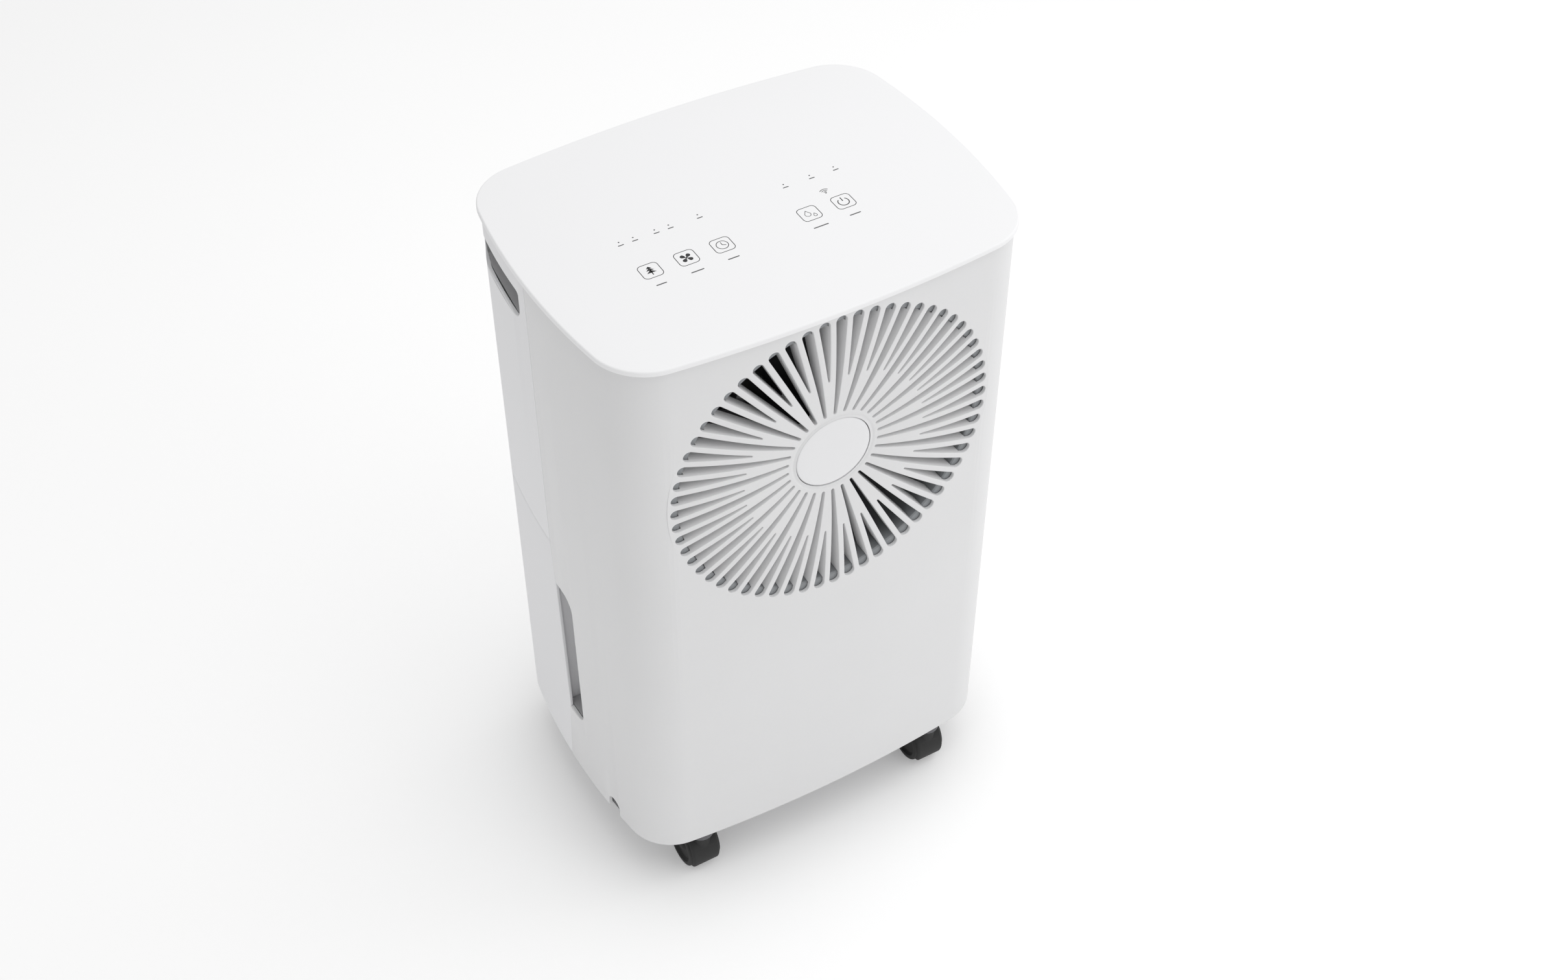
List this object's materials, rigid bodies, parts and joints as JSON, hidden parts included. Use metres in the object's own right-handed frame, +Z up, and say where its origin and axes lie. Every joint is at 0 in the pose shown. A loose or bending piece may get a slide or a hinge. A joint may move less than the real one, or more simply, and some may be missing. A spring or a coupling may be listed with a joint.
{
  "type": "portable dehumidifier",
  "caption": "Upright household dehumidifier: a softly bowed white casing with a round radial air outlet in front, a slide-out water tank behind, side hand recesses and castors.",
  "frame": {"origin": "on the floor under the middle of the casing", "axes": "+Z up; the front with the round air outlet faces -Y; +X is to the right of someone facing the front"},
  "size_m": [0.3454, 0.2632, 0.576],
  "materials": {
    "casing_white": "fine satin moulded plastic",
    "lid_white": "smooth satin moulded plastic",
    "recess_grey": "satin grey moulded plastic",
    "inner_grey": "matt moulded plastic",
    "base_grey": "matt moulded plastic",
    "castor_black": "satin black nylon",
    "fan_black": "matt black plastic",
    "steel": "plated steel",
    "copper": "drawn copper tube",
    "fin_aluminium": "thin folded fins",
    "compressor_black": "black gloss enamel on steel",
    "rubber": "soft matt rubber",
    "board_green": "solder-masked circuit board",
    "float_blue": "foamed plastic",
    "filter_grey": "matt frame with a fine mesh",
    "lamp_glass": "clear glass tube"
  },
  "bodies": {
    "casing": {"front_shell": "casing_white", "rear_shell": "casing_white", "hub_cap": "casing_white", "top_lid": "lid_white", "grip_cup_left": "recess_grey", "grip_cup_right": "recess_grey", "handle_cup_left": "recess_grey", "handle_cup_right": "recess_grey", "fan_duct": "inner_grey", "fan_bulkhead": "inner_grey", "mid_shelf": "inner_grey", "drip_tray": "inner_grey", "base_pan": "base_grey", "cord_inlet": "castor_black", "ioniser": "fan_black", "fan_motor": "steel", "motor_bracket": "steel", "run_capacitor": "steel", "suction_pipe": "copper", "discharge_pipe": "copper", "filter_drier": "copper", "capillary_tube": "copper", "condenser": "fin_aluminium", "evaporator": "fin_aluminium", "compressor": "compressor_black", "accumulator": "compressor_black", "grommet_1": "rubber", "grommet_2": "rubber", "grommet_3": "rubber", "touch_board": "board_green", "power_board": "board_green", "humidity_sensor": "board_green", "reed_switch": "board_green", "uv_lamp": "lamp_glass"},
    "fan": {"fan_wheel": "fan_black", "fan_nut": "fan_black", "motor_shaft": "steel"},
    "tank": {"tank_shell": "casing_white", "tank_lid": "recess_grey", "float_pin": "steel"},
    "float": {"tank_float": "float_blue"},
    "filter_frame": {"intake_grille": "casing_white", "air_filter": "filter_grey"},
    "plug": {"drain_plug": "rubber"},
    "castor_front_left": {"castor_front_left_body": "castor_black", "castor_front_left_axle": "steel"},
    "castor_front_left_wheel_left": {"castor_front_left_wheel_left": "castor_black"},
    "castor_front_left_wheel_right": {"castor_front_left_wheel_right": "castor_black"},
    "castor_front_right": {"castor_front_right_body": "castor_black", "castor_front_right_axle": "steel"},
    "castor_front_right_wheel_left": {"castor_front_right_wheel_left": "castor_black"},
    "castor_front_right_wheel_right": {"castor_front_right_wheel_right": "castor_black"},
    "castor_back_left": {"castor_back_left_body": "castor_black", "castor_back_left_axle": "steel"},
    "castor_back_left_wheel_left": {"castor_back_left_wheel_left": "castor_black"},
    "castor_back_left_wheel_right": {"castor_back_left_wheel_right": "castor_black"},
    "castor_back_right": {"castor_back_right_body": "castor_black", "castor_back_right_axle": "steel"},
    "castor_back_right_wheel_left": {"castor_back_right_wheel_left": "castor_black"},
    "castor_back_right_wheel_right": {"castor_back_right_wheel_right": "castor_black"}
  },
  "joints": [
    {"name": "fan_spin", "type": "hinge", "parent": "casing", "child": "fan", "pos_m": [0, -0.1026, 0.438], "axis": [0, 1, 0], "continuous": true},
    {"name": "tank_slide", "type": "slide", "parent": "casing", "child": "tank", "axis": [0, 1, 0], "range_m": [0, 0.25]},
    {"name": "float_hinge", "type": "hinge", "parent": "tank", "child": "float", "pos_m": [0.1, 0.04, 0.29805], "axis": [1, 0, 0], "range_deg": [0, 12]},
    {"name": "filter_slide", "type": "slide", "parent": "casing", "child": "filter_frame", "axis": [0, 1, 0], "range_m": [0, 0.03]},
    {"name": "plug_slide", "type": "slide", "parent": "casing", "child": "plug", "axis": [0, 1, 0], "range_m": [0, 0.02]},
    {"name": "castor_front_left_swivel", "type": "hinge", "parent": "casing", "child": "castor_front_left", "pos_m": [-0.111, -0.1085, 0], "axis": [0, 0, 1], "continuous": true},
    {"name": "castor_front_left_wheel_left_spin", "type": "hinge", "parent": "castor_front_left", "child": "castor_front_left_wheel_left", "pos_m": [-0.111, -0.0965, 0.02], "axis": [1, 0, 0], "continuous": true},
    {"name": "castor_front_left_wheel_right_spin", "type": "hinge", "parent": "castor_front_left", "child": "castor_front_left_wheel_right", "pos_m": [-0.111, -0.0965, 0.02], "axis": [1, 0, 0], "continuous": true},
    {"name": "castor_front_right_swivel", "type": "hinge", "parent": "casing", "child": "castor_front_right", "pos_m": [0.111, -0.1085, 0], "axis": [0, 0, 1], "continuous": true},
    {"name": "castor_front_right_wheel_left_spin", "type": "hinge", "parent": "castor_front_right", "child": "castor_front_right_wheel_left", "pos_m": [0.111, -0.0965, 0.02], "axis": [1, 0, 0], "continuous": true},
    {"name": "castor_front_right_wheel_right_spin", "type": "hinge", "parent": "castor_front_right", "child": "castor_front_right_wheel_right", "pos_m": [0.111, -0.0965, 0.02], "axis": [1, 0, 0], "continuous": true},
    {"name": "castor_back_left_swivel", "type": "hinge", "parent": "casing", "child": "castor_back_left", "pos_m": [-0.111, 0.09, 0], "axis": [0, 0, 1], "continuous": true},
    {"name": "castor_back_left_wheel_left_spin", "type": "hinge", "parent": "castor_back_left", "child": "castor_back_left_wheel_left", "pos_m": [-0.111, 0.102, 0.02], "axis": [1, 0, 0], "continuous": true},
    {"name": "castor_back_left_wheel_right_spin", "type": "hinge", "parent": "castor_back_left", "child": "castor_back_left_wheel_right", "pos_m": [-0.111, 0.102, 0.02], "axis": [1, 0, 0], "continuous": true},
    {"name": "castor_back_right_swivel", "type": "hinge", "parent": "casing", "child": "castor_back_right", "pos_m": [0.111, 0.09, 0], "axis": [0, 0, 1], "continuous": true},
    {"name": "castor_back_right_wheel_left_spin", "type": "hinge", "parent": "castor_back_right", "child": "castor_back_right_wheel_left", "pos_m": [0.111, 0.102, 0.02], "axis": [1, 0, 0], "continuous": true},
    {"name": "castor_back_right_wheel_right_spin", "type": "hinge", "parent": "castor_back_right", "child": "castor_back_right_wheel_right", "pos_m": [0.111, 0.102, 0.02], "axis": [1, 0, 0], "continuous": true}
  ]
}
